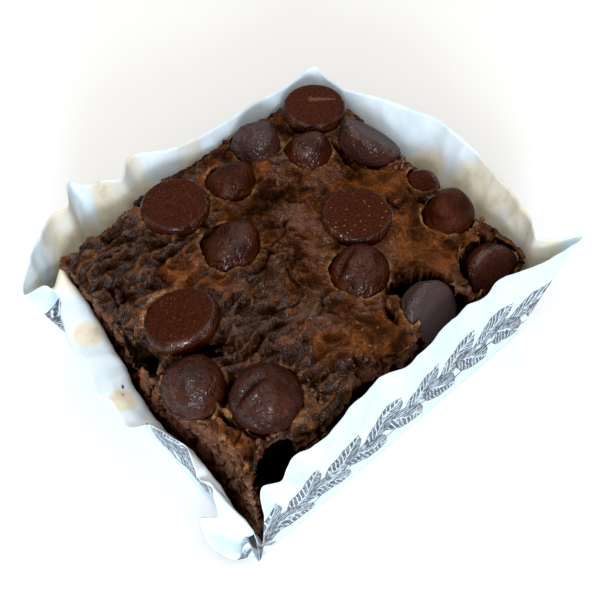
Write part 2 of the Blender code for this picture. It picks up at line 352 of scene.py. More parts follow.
def plain_mesh(item, name):
    """The item's mesh with its modifiers applied."""
    graph = bpy.context.evaluated_depsgraph_get()
    mesh = bpy.data.meshes.new_from_object(item.evaluated_get(graph), depsgraph=graph)
    mesh.name = name
    return mesh


def temporary(mesh):
    item = bpy.data.objects.new("temporary", mesh)
    bpy.context.scene.collection.objects.link(item)
    return item


def finish_piece(name, mesh, material):
    """A finished piece of the brownie from its mesh."""
    mesh.materials.clear()
    mesh.materials.append(material)
    mesh.polygons.foreach_set("use_smooth", [True] * len(mesh.polygons))
    piece = bpy.data.objects.new(name, mesh)
    bpy.context.scene.collection.objects.link(piece)
    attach(piece, "root")
    triangles = sum(len(face.vertices) - 2 for face in mesh.polygons)
    print(f"{name}: {triangles} triangles")
    return piece


# %% [markdown]
# ## The chips
# A baking chip is a drop of chocolate, turned in shape, with a flat base. These were melted a little, so they
# slumped, and no two are alike: some stand on their base with a soft tip, some lie base up like buttons, and
# some lie on their side. Each takes its place, tilt, radius and height from its solid. Its shape follows a
# rule, so Geometry Nodes make it: a flat grid is rolled round the axis, and a curve says how wide it is at
# each height. Inputs for the lean of the tip, the pinch of the sides and the seed make every chip differ.

# %% Where each chip is


def chip_pose(node):
    """The middle of a chip's flat base, the way its tip points, its radius and its height, in mm."""
    mesh = merged_mesh(node)
    mesh.calc_loop_triangles()
    areas = {}
    for triangle in mesh.loop_triangles:
        key = tuple(round(value, 2) for value in triangle.normal)
        areas.setdefault(key, []).append(triangle)
    base = max(areas.values(), key=lambda group: sum(triangle.area for triangle in group))
    area = sum(triangle.area for triangle in base)
    middle = sum((triangle.center * triangle.area for triangle in base), Vector()) / area / MM
    axis = -sum((triangle.normal * triangle.area for triangle in base), Vector()).normalized()
    points = points_of(mesh) / MM - np.array(middle)
    height = (points @ np.array(axis)).max()
    across = points - np.outer(points @ np.array(axis), np.array(axis))
    return middle, axis, np.linalg.norm(across, axis=1).max(), height


poses = {node: chip_pose(node) for node in CHIPS}
for node, (middle, axis, radius, height) in poses.items():
    print(node, [round(value, 1) for value in middle], "tip", [round(value, 2) for value in axis],
          round(radius, 1), round(height, 1))

# %% The chip tree
CHIP_OUTLINE = (  # (share of the way from base to tip, share of the radius, share of the height)
    (0.00, 0.00, 0.00), (0.20, 0.80, 0.00), (0.25, 0.90, 0.030), (0.30, 0.965, 0.095), (0.36, 1.00, 0.21),
    (0.46, 0.98, 0.33), (0.56, 0.91, 0.51), (0.66, 0.80, 0.67), (0.76, 0.65, 0.80), (0.86, 0.44, 0.915),
    (0.93, 0.26, 0.97), (1.00, 0.00, 1.00),
)
CHIP_ROUND, CHIP_RISE = 97, 73  # points round a chip and along its outline


def float_curve(net, value, points):
    """A curve through (place, value) points, as a node."""
    item = net.node("ShaderNodeFloatCurve", {}, {"Value": value})
    curve = item.mapping.curves[0]
    while len(curve.points) < len(points):
        curve.points.new(0.5, 0.5)
    for point, place in zip(curve.points, points):
        point.location = place
    item.mapping.update()
    return Wire(net, item.outputs[0])


def group_tree(name, sizes):
    """An empty Geometry Nodes tree with these number inputs: (net, its inputs as wires, its output node)."""
    tree = bpy.data.node_groups.new(name, "GeometryNodeTree")
    tree.interface.new_socket("Geometry", in_out="INPUT", socket_type="NodeSocketGeometry")
    tree.interface.new_socket("Geometry", in_out="OUTPUT", socket_type="NodeSocketGeometry")
    for size in sizes:
        tree.interface.new_socket(size, in_out="INPUT", socket_type="NodeSocketFloat")
    tree.interface.new_socket("Material", in_out="INPUT", socket_type="NodeSocketMaterial")
    net = Net(tree)
    entry = net.node("NodeGroupInput")
    wires = {socket.name: Wire(net, socket) for socket in entry.outputs if socket.name}
    return net, wires, net.node("NodeGroupOutput")


def chip_tree():
    net, given, end = group_tree("chip", ("Radius", "Height", "Lean", "Lean bearing", "Pinch", "Pinch bearing",
                                          "Dent x", "Dent y", "Dent bearing", "Dent length", "Dent width",
                                          "Dent depth", "Uneven", "Seed"))
    grid = net.out("GeometryNodeMeshGrid", {}, {"Size X": 1.0, "Size Y": 1.0, "Vertices X": CHIP_ROUND,
                                               "Vertices Y": CHIP_RISE})
    place = net.out("GeometryNodeInputPosition")
    split = net.node("ShaderNodeSeparateXYZ", {}, {0: place})
    turn = (Wire(net, split.outputs[0]) + 0.5) * (2 * math.pi)
    share = Wire(net, split.outputs[1]) + 0.5
    wide = float_curve(net, share, [(at, width) for at, width, _ in CHIP_OUTLINE])
    rise = float_curve(net, share, [(at, height) for at, _, height in CHIP_OUTLINE])

    lobes = net.math("COSINE", (turn - given["Pinch bearing"]) * 2.0)
    squeeze = 1.0 - given["Pinch"] * rise * (1.0 - rise * 0.3) * (lobes * 0.5 + 0.5)
    reach = wide * given["Radius"] * squeeze
    lean = given["Lean"] * rise ** 2.0
    x = net.math("COSINE", turn) * reach + net.math("COSINE", given["Lean bearing"]) * lean
    y = net.math("SINE", turn) * reach + net.math("SINE", given["Lean bearing"]) * lean
    run, turned = net.math("COSINE", given["Dent bearing"]), net.math("SINE", given["Dent bearing"])
    dx, dy = x - given["Dent x"], y - given["Dent y"]
    along = (dx * run + dy * turned) / given["Dent length"]
    across = (dy * run - dx * turned) / given["Dent width"]
    hollow = net.math("EXPONENT", 0.0 - along ** 2.0 - across ** 2.0)
    lip = net.math("EXPONENT", 0.0 - along ** 2.0 - (across + 1.7) ** 2.0) * 0.55
    drop = (hollow - lip) * given["Dent depth"] * net.step(share, 0.36, 0.46)
    rolled = net.out("ShaderNodeCombineXYZ", {}, {0: x, 1: y, 2: rise * given["Height"] - drop})

    apart = net.out("ShaderNodeCombineXYZ", {}, {0: given["Seed"] * 0.37, 1: given["Seed"] * 0.71, 2: 0.0})
    broad = net.out("ShaderNodeTexNoise", {}, {"Vector": rolled + apart, "Scale": 170.0, "Detail": 1.0}, "Color")
    fine = net.out("ShaderNodeTexNoise", {}, {"Vector": rolled + apart, "Scale": 900.0, "Detail": 2.0}, "Color")
    half = (0.5, 0.5, 0.5)
    loose = 0.06 + 0.94 * net.step(share, 0.26, 0.50)
    push = ((broad - half) * (given["Uneven"] * loose)) + ((fine - half) * (given["Uneven"] * 0.05 * loose))

    flat = net.step(share, 0.27, 0.21)  # both are stored while the grid is still flat, because they read it
    kept = net.out("GeometryNodeStoreNamedAttribute", {"data_type": "FLOAT"},
                   {"Geometry": grid, "Name": "face", "Value": flat})
    bevel = net.step(share, 0.225, 0.275) * net.step(share, 0.42, 0.34)
    kept = net.out("GeometryNodeStoreNamedAttribute", {"data_type": "FLOAT"},
                   {"Geometry": kept, "Name": "bevel", "Value": bevel})
    moved = net.out("GeometryNodeSetPosition", {}, {"Geometry": kept, "Position": rolled + push})
    closed = net.out("GeometryNodeMergeByDistance", {}, {"Geometry": moved, "Distance": 0.002 * MM})
    real = net.out("GeometryNodeRealizeInstances", {}, {0: closed})
    painted = net.out("GeometryNodeSetMaterial", {}, {"Geometry": real, "Material": given["Material"]})
    net.tree.links.new(painted.socket, end.inputs[0])
    return net.tree


def run_tree(tree, values, base=None):
    """The plain mesh that a Geometry Nodes tree makes of these inputs."""
    item = temporary(base or bpy.data.meshes.new("start"))
    modifier = item.modifiers.new("nodes", "NODES")
    modifier.node_group = tree
    for socket in tree.interface.items_tree:
        if socket.item_type == "SOCKET" and socket.in_out == "INPUT" and socket.name in values:
            modifier[socket.identifier] = values[socket.name]
    mesh = plain_mesh(item, tree.name)
    bpy.data.objects.remove(item)
    return mesh


print(len(chip_tree().nodes), "nodes in the chip's tree")
bpy.data.node_groups.remove(bpy.data.node_groups["chip"])

# %% [markdown]
# ## The finish of the chocolate
# Chocolate that has melted and set again is dark, and half glossy. Its flat base was pressed on a belt, so it
# is duller, redder and finely speckled. The domes are pitted where fat has bubbled, and the pits catch light.

# %% Chocolate


SHINE = 0.04  # of the dull parts: a high value lays a grey veil over dark chocolate


def chocolate_material():
    material, net, shader, place = new_material("chocolate")
    face, speckled, scratch = net.attribute("face"), net.attribute("speckled"), net.attribute("scratch")
    broad = net.noise(place, 260.0, 3.0)
    grain = net.noise(place, 2400.0, 2.0, 0.7)
    dots = net.out("ShaderNodeTexVoronoi", {}, {"Vector": place, "Scale": 1050.0})
    dome = net.mix(net.step(broad, 0.3, 0.7), (0.023, 0.0052, 0.0022), (0.050, 0.0113, 0.0041))
    button = net.mix(net.step(grain, 0.38, 0.60), (0.025, 0.0047, 0.0018), (0.058, 0.0128, 0.0046))
    color = net.mix(face, dome, button)
    tan = net.step(dots, 0.19, 0.11) * net.step(broad, 0.38, 0.48) * face * speckled
    color = net.mix(tan, color, (0.34, 0.130, 0.040))
    color = net.mix(scratch, color, (0.120, 0.048, 0.026))
    # painted sheen: a grey-purple lift, by each chip's share, in place of reflected light
    color = net.mix(net.attribute("bloom") * (0.80 + 0.20 * net.step(grain, 0.40, 0.60)), color, (0.066, 0.044, 0.043))
    net.tree.links.new(color.socket, shader.inputs["Base Color"])
    shader.inputs["Specular IOR Level"].default_value = SHINE
    shader.inputs["Roughness"].default_value = 0.45

    pits = net.out("ShaderNodeTexVoronoi", {}, {"Vector": place, "Scale": 1700.0})
    pocked = net.step(net.noise(place, 330.0, 3.0, 0.6), 0.40, 0.56)
    height = net.step(pits, 0.05, 0.34) * (0.15 + 0.85 * pocked) * (1.0 - face * 0.80) + grain * 0.10
    bump = net.out("ShaderNodeBump", {}, {"Strength": 1.0, "Distance": 0.00030, "Height": height})
    net.tree.links.new(bump.socket, shader.inputs["Normal"])
    patch = net.step(net.noise(place, 170.0, 3.0, 0.6), 0.40, 0.58)
    wet = net.attribute("wet") * (0.45 + 0.55 * patch) * (1.0 - 0.25 * net.step(grain, 0.45, 0.60))
    rim = net.attribute("bevel") * (0.25 + 0.75 * net.step(broad, 0.36, 0.60))
    net.wetted(shader, net.math("MAXIMUM", wet, rim), color, bump, 0.18)
    return material


chocolate = chocolate_material()
print("chocolate has", len(chocolate.node_tree.nodes), "nodes")

# %% Sixteen chips
# Each chip's lean of the tip in mm, the bearing of the lean, the pinch of its sides and the bearing of the
# pinch in degrees, all in the chip's own axes.
CHIP_HABITS = {
    "chip_02": (2.0, 296, 0.12, 40), "chip_03": (0.9, 298, 0.20, 60), "chip_05": (1.4, 340, 0.46, 65),
    "chip_07": (3.2, 345, 0.30, 80), "chip_09": (1.5, 27, 0.16, 110), "chip_11": (1.3, 5, 0.10, 0),
    "chip_12": (0.7, 173, 0.06, 60), "chip_14": (1.2, 169, 0.46, 95),
}
# A dent with a raised lip: (x, y, bearing, length, width, depth), in mm and degrees.
CHIP_DENTS = {
    "chip_12": (-3.0, 1.2, -4, 3.4, 0.75, 1.1), "chip_11": (-4.4, -1.6, 100, 4.0, 2.0, 0.8),
    "chip_02": (-3.6, -0.6, 250, 3.0, 0.9, 0.9), "chip_09": (-2.4, 1.8, 20, 3.0, 0.7, 0.7),
    "chip_14": (-1.5, -2.4, 15, 4.0, 1.4, 0.7),
}
SPECKLED = {"chip_08": 1.0, "chip_13": 0.5, "chip_10": 0.35, "chip_06": 0.25}
WET = {"chip_02": 1.0, "chip_03": 0.85, "chip_04": 0.6, "chip_07": 0.55, "chip_09": 0.55, "chip_11": 0.65,
       "chip_12": 0.75, "chip_13": 1.0, "chip_16": 0.25, "chip_14": 0.12, "chip_05": 0.10, "chip_15": 0.1}
# painted sheen: how far each chip's colour is lifted to grey-purple, where it would reflect the window and the paper
SHEEN_PAINTED_ON = {"chip_13": 0.95, "chip_04": 0.25, "chip_11": 0.08, "chip_12": 0.10, "chip_02": 0.30, "chip_16": 0.15}
FORWARD = (-0.52, -0.58, 0.63)  # fat has run to the sides that face this way
UNEVEN = 1.3 * MM
SCRATCH = ((29.6, 27.3), (33.7, 23.7), 0.75, 0.25)  # its two ends and its half widths there, in mm


def chip_place(middle, axis):
    """The matrix that stands a chip, made upright at the origin, on the middle of its base."""
    turned = Vector((0.0, 0.0, 1.0)).rotation_difference(axis).to_matrix().to_4x4()
    return Matrix.Translation(middle * MM) @ turned


def scratch_share(points):
    """1 on the pale wedge that was scraped across one flat base."""
    start, end, wide, narrow = SCRATCH
    way = np.subtract(end, start)
    length = np.hypot(*way)
    away = points[:, :2] - start
    along = away @ (way / length)
    across = np.abs(away[:, 0] * way[1] - away[:, 1] * way[0]) / length
    width = np.interp(along / length, [0, 1], [wide, narrow])
    return (along > 0) * (along < length) * step(width - across, 0.0, 0.15) * (points[:, 2] > 26.5)


def make_chips():
    tree = chip_tree()
    for number, (node, (middle, axis, radius, height)) in enumerate(poses.items(), 1):
        lean, lean_bearing, pinch, pinch_bearing = CHIP_HABITS.get(node, (0.3, 0, 0.0, 0))
        x, y, bearing, length, width, depth = CHIP_DENTS.get(node, (0, 0, 0, 1, 1, 0))
        mesh = run_tree(tree, {
            "Radius": radius * MM, "Height": height * MM, "Lean": lean * MM,
            "Lean bearing": math.radians(lean_bearing), "Pinch": pinch,
            "Pinch bearing": math.radians(pinch_bearing), "Dent x": x * MM, "Dent y": y * MM,
            "Dent bearing": math.radians(bearing), "Dent length": length * MM, "Dent width": width * MM,
            "Dent depth": depth * MM, "Uneven": UNEVEN, "Seed": float(number), "Material": chocolate,
        })
        mesh.transform(chip_place(middle, axis))
        points = points_of(mesh) / MM
        add_values(mesh, "speckled", np.full(len(points), SPECKLED.get(node, 0.12)))
        # the share of painted sheen on this chip
        add_values(mesh, "bloom", np.full(len(points), SHEEN_PAINTED_ON.get(node, 0.0)))
        forward = step(normals_of(mesh) @ np.array(FORWARD), 0.30, 0.80)
        add_values(mesh, "wet", WET.get(node, 0.03) * (0.20 + 0.80 * forward))
        add_values(mesh, "scratch", scratch_share(points) * (node == "chip_01"))
        piece = finish_piece(node + "_melted", mesh, chocolate)
        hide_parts(node)


make_chips()

# %% [markdown]
# ## The brownie
# The crust is thin and leathery, puffed into wrinkles that run along the brownie, and torn beside the chips.
# Under it the crumb is dark, moist and full of holes. Both come from one body: the frame's solid is rebuilt
# as small even cells, its coarse facets are smoothed away, and then its points are moved. How far a point
# lies under the crust round it says whether it wrinkles like crust or crumbles like crumb.

# %% A fine body
CELL = 0.30


def fine_body():
    """The brownie's solid as a mesh of small even cells, smoothed."""
    item = temporary(merged_mesh("brownie"))
    remesh = item.modifiers.new("cells", "REMESH")
    remesh.mode = "VOXEL"
    remesh.voxel_size = CELL * MM
    smooth = item.modifiers.new("smooth", "SMOOTH")
    smooth.factor = 0.5
    smooth.iterations = 6
    mesh = plain_mesh(item, "brownie_body")
    bpy.data.objects.remove(item)
    return mesh


body = fine_body()
print("body of", len(body.polygons), "cells")

# %% How deep under the crust


def crust_level(points, upward):
    """The height of the crust over each point: the highest crust nearby, smoothed over the sockets."""
    spacing = 1.5
    low = points[:, :2].min(axis=0) - 3 * spacing
    column, row = ((points[:, :2] - low) / spacing).astype(int).T
    shape = (column.max() + 4, row.max() + 4)
    level = np.full(shape, -1.0)
    np.maximum.at(level, (column[upward], row[upward]), points[upward, 2])
    known = (level > 17.5).astype(float)
    level = np.where(known > 0, level, 0.0)
    for _ in range(14):
        level, known = [
            sum(np.roll(values, shift, axis) for axis in (0, 1) for shift in (-1, 0, 1)) / 6
            for values in (level, known)
        ]
    height = level / np.maximum(known, 1e-6)
    return height[column, row]


points = points_of(body) / MM
normals = normals_of(body)
depth = crust_level(points, normals[:, 2] > 0.6) - points[:, 2]
print("crust at", round(float(np.median((points[:, 2] + depth))), 1), "mm")

# %% Crust relief
GOLDEN = ((29.5, 1.0, 5.5), (24.5, 4.5, 5.0), (22.5, -17.0, 5.5), (24.5, -10.0, 5.5), (20.0, -12.5, 5.0),
          (26.0, -19.5, 4.5), (11.5, 21.0, 2.2), (0.5, 25.5, 2.8), (-16.0, 11.0, 4.6), (-13.0, 5.5, 2.4),
          (-30.5, -15.5, 3.0), (-29.4, -19.0, 2.8), (-28.8, -22.3, 2.6), (3.0, -22.5, 4.5), (-7.5, -18.5, 3.2), (-1.0, 16.5, 2.0), (-3.0, -20.0, 3.5),
          (19.5, 6.5, 3.0))
SUNK = (  # (x, y, half length, half width, bearing, depth) of gaps in the crust
    (24.0, -23.0, 5.6, 2.2, 58, 7.5), (31.6, -19.4, 2.4, 1.3, 82, 5.0), (31.7, -23.8, 1.6, 0.9, -60, 5.0),
    (11.2, -16.8, 3.0, 1.5, -6, 8.0), (14.8, -17.3, 3.2, 1.9, -30, 9.0), (17.6, -19.7, 3.0, 1.8, -62, 9.0),
    (26.4, 11.6, 3.4, 1.3, 80, 7.0), (29.0, 7.8, 2.6, 1.0, -40, 6.0),
    (6.2, -19.8, 3.0, 0.8, 69, 5.0), (29.7, -3.7, 3.2, 1.1, 70, 4.0),
    (27.0, 14.4, 3.6, 1.3, 80, 5.0), (-31.0, 7.4, 3.4, 1.0, 82, 5.0), (-30.2, 1.8, 3.0, 1.5, 80, 6.0),
    (-27.4, -2.6, 3.0, 1.0, -27, 5.0), (-24.6, -12.6, 3.6, 0.9, 37, 5.0), (-27.6, -17.5, 3.2, 0.6, 95, 4.0),
    (-26.2, -22.0, 2.4, 0.6, 128, 4.0),
)
# spots of glossy crust; the finish also paints them lighter, as painted sheen
GLOSSY = ((-17.2, -9.4, 8.0), (-8.0, -14.0, 7.0), (7.5, 8.0, 3.4), (11.0, 3.5, 3.2), (20.0, 12.0, 3.5),
          (-6.0, 9.0, 4.0), (6.0, -16.0, 3.5), (-31.0, 12.0, 5.0))
WRINKLED_TO = -6.0  # the crust left of this x has the deep wrinkles


def crests(points, size, seed=0):
    """Sharp ridges, 1 along their tops, with hollows of about this size between them."""
    return np.clip(1 - 2.4 * np.abs(noise(points, size, seed)), 0, 1) ** 1.4


def spots(points, places):
    """1 near any of these (x, y, radius) places, fading out."""
    best = np.zeros(len(points))
    for x, y, radius in places:
        away = np.hypot(points[:, 0] - x, points[:, 1] - y) / radius
        best = np.maximum(best, 1 - step(away, 0.55, 1.15))
    return best


def carved(points):
    """How deep the crust has sunk at each point, in mm."""
    sunk = np.zeros(len(points))
    wavy = 0.22 * noise(points * (1, 1, 0.3), 1.7, 40) + 0.12 * noise(points * (1, 1, 0.3), 0.7, 41)
    for x, y, along, across, bearing, deep in SUNK:
        turn = math.radians(bearing)
        away = points[:, :2] - (x, y)
        u = (away @ (math.cos(turn), math.sin(turn))) / along
        v = (away @ (-math.sin(turn), math.cos(turn))) / across
        sunk = np.maximum(sunk, deep * (1 - step(np.hypot(u, v) + wavy, 0.75, 1.0)))
    return sunk


def near_chips(points):
    """For each point: how far in mm it is from the nearest chip, negative inside it, the way out from that chip,
    and whether that chip stands level, so that the crust closes round it."""
    best = np.full(len(points), 99.0)
    outwards = np.zeros_like(points)
    snug = np.zeros(len(points))
    for middle, axis, radius, height in poses.values():
        away = points - np.array(middle)
        rise = away @ np.array(axis)
        sideways = away - np.outer(rise, np.array(axis))
        across = np.linalg.norm(sideways, axis=1)
        share = np.clip(rise / height, 0.0, 1.0)
        width = radius * np.interp(share, [0.0, 0.17, 0.5, 0.77, 0.95, 1.0], [0.98, 1.0, 0.89, 0.65, 0.32, 0.0])
        over = np.maximum(rise - height, 0.0) + np.maximum(-rise, 0.0)
        gap = np.hypot(np.maximum(across - width, 0.0), over) + np.minimum(across - width, 0.0) * (over == 0)
        nearer = gap < best
        best[nearer] = gap[nearer]
        outwards[nearer] = (sideways / np.maximum(across, 0.1)[:, None])[nearer]
        snug[nearer] = abs(axis[2]) > 0.9
    return best, outwards, snug


chip_gap, outwards, snug = near_chips(points)
ragged = depth + 0.45 * noise(points, 2.2, 30) + 0.25 * noise(points, 0.9, 32)
sunk = carved(points)
is_crust = step(normals[:, 2], 0.15, 0.5) * (1 - step(ragged, 1.0, 1.9)) * (1 - step(sunk, 0.8, 2.4))
warp = np.stack([noise(points, 7.0, 1), noise(points, 7.0, 2), np.zeros(len(points))], axis=1)
flowing = (points + 1.8 * warp) * (0.45, 1.0, 1.0)
left_part = 1 - step(points[:, 0] + 5 * noise(points, 12.0, 3), WRINKLED_TO - 8.0, WRINKLED_TO + 8.0)
golden = spots(points + 1.8 * warp, GOLDEN)
wrinkles = crests(flowing, 3.4, 4) * 0.80 + crests(flowing * (1.4, 1.0, 1.0), 1.8, 7) * 0.45
flakes = crests(points + 1.2 * warp, 2.8, 5) * 0.34 + crests(points, 1.5, 12) * 0.24
swells = noise(points, 6.0, 13) * 0.45 + noise(points, 2.4, 14) * 0.20
creases = 1 - step(np.abs(noise(points + 1.2 * warp, 6.5, 8)), 0.0, 0.075)
creases *= step(noise(points, 8.0, 10), -0.25, 0.25) * (1 - 0.7 * golden)
relief = left_part * wrinkles + (1 - 0.7 * left_part) * (1 - 0.6 * golden) * flakes + swells
relief += 0.10 * layered(points, 1.0, 2, 6) - 0.45 * creases - 0.30
print("relief from", relief.min().round(2), "to", relief.max().round(2), "mm")

# %% Crumb relief


def crumb_relief(points):
    """Clumps with holes between them."""
    holes = nearest_cell(points + 0.5 * warp, 2.3, 1)
    small = nearest_cell(points, 1.1, 2)
    clumps = layered(points, 3.2, 3, 9)
    fissures = 1 - step(np.abs(noise((points + warp) * (1, 1, 0.5), 4.5, 45)), 0.0, 0.11)
    return 0.55 * clumps - 1.0 * (1 - step(holes, 0.12, 0.50)) - 0.50 * (1 - step(small, 0.15, 0.5)) - 0.8 * fissures


crumb = crumb_relief(points)
quiet = step(chip_gap, 0.1, 1.2)
collar = np.exp(-((chip_gap - 0.9) / 0.6) ** 2) * 0.22
floor_fade = step(points[:, 2], 1.2, 3.0)
upright = 1 - step(np.abs(normals[:, 2]), 0.3, 0.8)
push = is_crust * ((1.0 + 0.45 * left_part) * relief * (0.25 + 0.75 * quiet) + collar)
push += (1 - is_crust) * (1.05 * crumb * (0.3 + 0.7 * quiet) - 0.55 * upright * quiet) * floor_fade
hug = snug * step(noise(points, 4.5, 31), -0.45, 0.0) * step(chip_gap, 1.5, 0.5) * step(depth, 3.0, 1.0)
moved = points + normals * push[:, None] - outwards * (np.clip(chip_gap, 0, 0.75) * hug)[:, None]
fallen = np.clip(sunk - np.maximum(depth, 0), 0, None)
moved[:, 2] -= fallen
shaken = np.stack([noise(moved, 1.6, seed) for seed in (50, 51, 52)], axis=1)
moved += 0.45 * step(fallen, 0.3, 1.5)[:, None] * shaken
moved[:, 2] = np.maximum(moved[:, 2], 0.8)
set_points(body, moved * MM)
print("moved by up to", round(float(np.abs(push).max()), 2), "mm")

# %% What the finish reads


# pale rims round the chips and along the crust's broken edges: partly the crust's own pale edge, partly painted
# highlight
rim = np.exp(-((chip_gap - 0.62) / 0.30) ** 2) * step(is_crust, 0.15, 0.6) * step(noise(points, 3.0, 33), -0.5, 0.1)
edge = is_crust * (1 - is_crust) * 4 * step(noise(points, 2.5, 34), -0.3, 0.3)
SHADED_HOLLOWS = (  # (middle, half sizes): painted shade, almost black, in the hollows beside chips, at the crack and at the front corner
    ((28.0, -24.2, 23.0), (6.9, 6.0, 8.0)), ((13.6, -21.4, 21.5), (7.6, 6.6, 5.5)),
    ((13.2, -27.6, 22.0), (6.4, 6.2, 9.5)), ((-30.6, 5.2, 21.5), (2.4, 6.4, 4.2)),
    ((-23.6, -4.6, 22.5), (5.4, 2.4, 4.0)), ((28.6, 10.2, 22.6), (4.6, 6.6, 4.2)),
    ((31.8, -1.6, 24.0), (3.6, 4.6, 3.2)), ((-26.2, -28.2, 17.0), (4.2, 4.2, 9.0)),
)
# painted shade: points in these hollows, and where the crust has sunk, are marked to be painted almost black
hollow = np.zeros(len(points))
for middle, half_sizes in SHADED_HOLLOWS:
    away = np.linalg.norm((points - middle) / half_sizes, axis=1)
    hollow = np.maximum(hollow, 1 - step(away, 0.90, 1.20))
hollow = np.maximum(hollow, step(sunk, 1.5, 3.5)) * (1 - is_crust) * (1 - 0.35 * step(noise(points, 1.6, 35), 0.1, 0.5))
add_values(body, "hollow", hollow)
add_values(body, "left", left_part)
add_values(body, "glossy", spots(points + 1.8 * warp, GLOSSY))
add_values(body, "crumb", 1 - is_crust)
add_values(body, "golden", golden)
add_values(body, "rim", np.clip(0.7 * rim + edge, 0, 1))
# the crust's creases, which the finish paints dark as painted shade
add_values(body, "crease", creases * is_crust)
add_values(body, "relief", is_crust * relief + (1 - is_crust) * crumb)
# the depth under the crust, which the finish turns into painted shade
add_values(body, "depth", np.clip(depth / 20.0, 0, 1))
print("golden share", round(float(golden.mean()), 2))

# %% Crust and crumb


BLACKISH, DARKEST, BROWN = (0.0050, 0.0017, 0.0009), (0.028, 0.0080, 0.0030), (0.108, 0.0315, 0.0090)
GOLD = (0.205, 0.0610, 0.0150)
TAN, PALE_TAN = (0.240, 0.078, 0.0190), (0.42, 0.200, 0.080)
INSIDE, INSIDE_PALE = (0.136, 0.061, 0.0370), (0.255, 0.120, 0.0670)


def baked_material(name):
    material, net, shader, place = new_material(name)
    crumb_share, golden_share, left = net.attribute("crumb"), net.attribute("golden"), net.attribute("left")
    rim_share, height, crease = net.attribute("rim"), net.attribute("relief"), net.attribute("crease")
    deep, hollow = net.attribute("depth"), net.step(net.attribute("hollow"), 0.05, 0.50)
    patchy = net.noise(place, 230.0, 4.0, 0.6)
    middle = net.noise(place, 750.0, 3.0, 0.6)
    small = net.noise(place, 1500.0, 2.0, 0.6)
    grain = net.noise(place, 3400.0, 2.0, 0.6)
    pores = net.out("ShaderNodeTexVoronoi", {}, {"Vector": place, "Scale": 620.0})
    bent = place + (net.out("ShaderNodeTexNoise", {}, {"Vector": place, "Scale": 420.0}, "Color") - (0.5, 0.5, 0.5)) * 0.0055
    plates = net.out("ShaderNodeTexVoronoi", {"feature": "DISTANCE_TO_EDGE"}, {"Vector": bent, "Scale": 280.0})
    cracks = net.step(plates, 0.065, 0.008) * net.step(net.noise(place, 150.0, 3.0), 0.42, 0.54)
    cracks = cracks * (1.0 - 0.55 * golden_share)
    billow = net.step(net.math("ABSOLUTE", middle - 0.5), 0.0, 0.16)
    ridge = net.step(net.math("ABSOLUTE", small - 0.5), 0.045, 0.0)

    # painted sheen: the crust's base is lifted toward brown in the glossy spots
    color = net.mix(net.step(patchy - left * 0.32 + net.attribute("glossy") * 0.16, 0.32, 0.60), DARKEST, BROWN)
    toasted = golden_share * (1.0 - left * 0.55)
    color = net.mix(toasted * (0.25 + 0.68 * net.step(0.6 * patchy + 0.4 * middle, 0.42, 0.54)), color, GOLD)
    color = net.mix(net.step(grain, 0.38, 0.66) * (0.14 + 0.18 * golden_share), color, TAN)
    color = net.mix(net.step(grain, 0.58, 0.40) * 0.22 * (1.0 - golden_share), color, BLACKISH)
    color = net.mix(ridge * net.step(patchy, 0.42, 0.58) * (0.42 - left * 0.26 - golden_share * 0.30), color, TAN)
    # painted shade: the creases between the fine wrinkles and the low parts of the relief are painted near-black, less
    # so in the glossy spots
    color = net.mix(net.step(billow, 0.34, 0.0) * (0.55 - 0.18 * golden_share) * (1.0 - 0.5 * net.attribute("glossy")), color, BLACKISH)
    color = net.mix(net.step(height, 0.05, -0.60) * 0.85, color, BLACKISH)
    # painted shade in the deep creases and the cracks
    color = net.mix(net.math("MAXIMUM", crease * 0.9, cracks * 0.55), color, BLACKISH)
    # painted highlight: the crests of the relief are painted lighter
    color = net.mix(net.step(height, 0.30, 0.62) * (0.30 + 0.35 * golden_share), color, TAN)
    # painted shade: the crumb is painted darkest in the low parts of its relief
    inner = net.mix(net.step(height, -0.75, 0.0), DARKEST, INSIDE)
    inner = net.mix(net.step(middle, 0.46, 0.60) * 0.6, inner, INSIDE_PALE)
    inner = net.mix(net.step(height, 0.02, 0.40) * net.step(small, 0.42, 0.56) * 0.7, inner, TAN)
    # painted shade: the crumb's pores are painted near-black
    inner = net.mix(net.step(pores, 0.28, 0.12) * 0.65, inner, BLACKISH)
    # painted shade: the crumb is painted darker the deeper it lies under the crust
    inner = net.mix(net.step(deep, 0.25, 0.8) * 0.35, inner, BLACKISH)
    # painted shade: the hollows are painted almost black
    inner = net.mix(hollow * 0.95, inner, (0.0016, 0.0009, 0.0006))
    color = net.mix(crumb_share, color, inner)
    # partly the crust's pale edge, partly painted highlight on its rims
    color = net.mix(rim_share * (0.30 + 0.65 * net.step(small, 0.40, 0.56)), color, PALE_TAN)
    net.tree.links.new(color.socket, shader.inputs["Base Color"])
    shader.inputs["Specular IOR Level"].default_value = SHINE
    shader.inputs["Roughness"].default_value = 0.5

    bump_height = (billow * 0.40 + ridge * 0.10 + small * 0.45) + grain * (0.30 + 0.15 * golden_share)
    bump_height = bump_height - cracks * 0.35
    bump = net.out("ShaderNodeBump", {}, {"Strength": 1.0, "Distance": 0.00040, "Height": bump_height})
    net.tree.links.new(bump.socket, shader.inputs["Normal"])
    glazed = net.step(net.noise(place, 120.0, 4.0, 0.65) + left * 0.20 + net.attribute("glossy") * 0.3, 0.44, 0.56)
    wet = glazed * (1.0 - crumb_share * 0.75) * (1.0 - golden_share * 0.80) * (1.0 - hollow)
    broken = 0.15 + 0.45 * net.attribute("glossy")
    wet = wet * net.step(height, -0.35, 0.10) * (broken + (1.0 - broken) * net.step(middle, 0.44, 0.54))
    net.wetted(shader, wet, color, bump, 0.24)
    return material


CRUST_DOWN_TO, CRUMB_DOWN_TO = 17.6, 8.0


